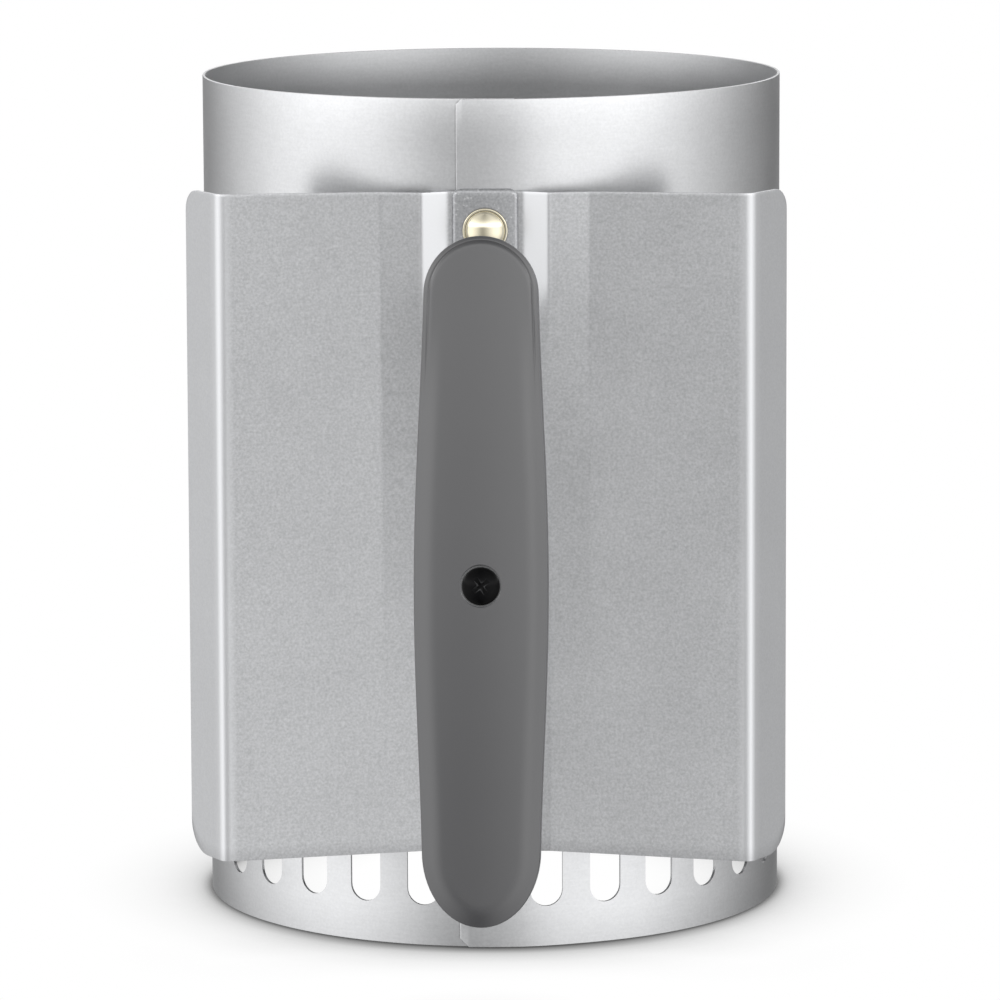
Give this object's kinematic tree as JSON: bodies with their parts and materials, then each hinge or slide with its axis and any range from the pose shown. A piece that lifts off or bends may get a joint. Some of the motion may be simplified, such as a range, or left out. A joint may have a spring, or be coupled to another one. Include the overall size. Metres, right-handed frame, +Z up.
{
  "type": "chimney charcoal starter",
  "caption": "Steel chimney charcoal starter: an open drum with air slots round its foot, a bent heat shield, a strap handle with a moulded grip, and a conical wire grate held loosely inside.",
  "frame": {"origin": "on the ground under the middle of the whole object's box; the drum's axis is 47 mm behind it (+Y)", "axes": "+Z up along the drum; +Y from the handle towards the back of the drum; +X to the right seen from the handle. X = 0 is the handle's plane"},
  "size_m": [0.165, 0.259, 0.2366],
  "materials": {
    "sheet_steel": "satin aluminised sheet with a fine grain",
    "strap_steel": "satin",
    "rivet_brass": "polished, pale yellow plating",
    "grip_plastic": "matt moulded, dark grey",
    "screw_black": "black oxide",
    "nut_zinc": "zinc plated",
    "grate_wire": "drawn wire, welded"
  },
  "bodies": {
    "starter": {"drum_wall": "sheet_steel", "heat_shield": "sheet_steel", "handle_strap": "strap_steel", "handle_rivet_upper": "rivet_brass", "handle_rivet_lower": "rivet_brass", "grip_front": "grip_plastic", "grip_back": "grip_plastic", "grip_screw": "screw_black", "grip_nut": "nut_zinc"},
    "grate": {"grate_ring_outer": "grate_wire", "grate_ring_middle": "grate_wire", "grate_ring_top": "grate_wire", "grate_spoke_01": "grate_wire", "grate_spoke_02": "grate_wire", "grate_spoke_03": "grate_wire", "grate_spoke_04": "grate_wire", "grate_spoke_05": "grate_wire", "grate_spoke_06": "grate_wire", "grate_spoke_07": "grate_wire", "grate_spoke_08": "grate_wire", "grate_spoke_09": "grate_wire", "grate_spoke_10": "grate_wire", "grate_spoke_11": "grate_wire", "grate_spoke_12": "grate_wire", "grate_spoke_13": "grate_wire", "grate_spoke_14": "grate_wire", "grate_spoke_15": "grate_wire", "grate_spoke_16": "grate_wire"}
  },
  "joints": [
    {"name": "grate_slide", "type": "slide", "parent": "starter", "child": "grate", "axis": [0, 0, 1], "range_m": [0, 0.006]}
  ]
}
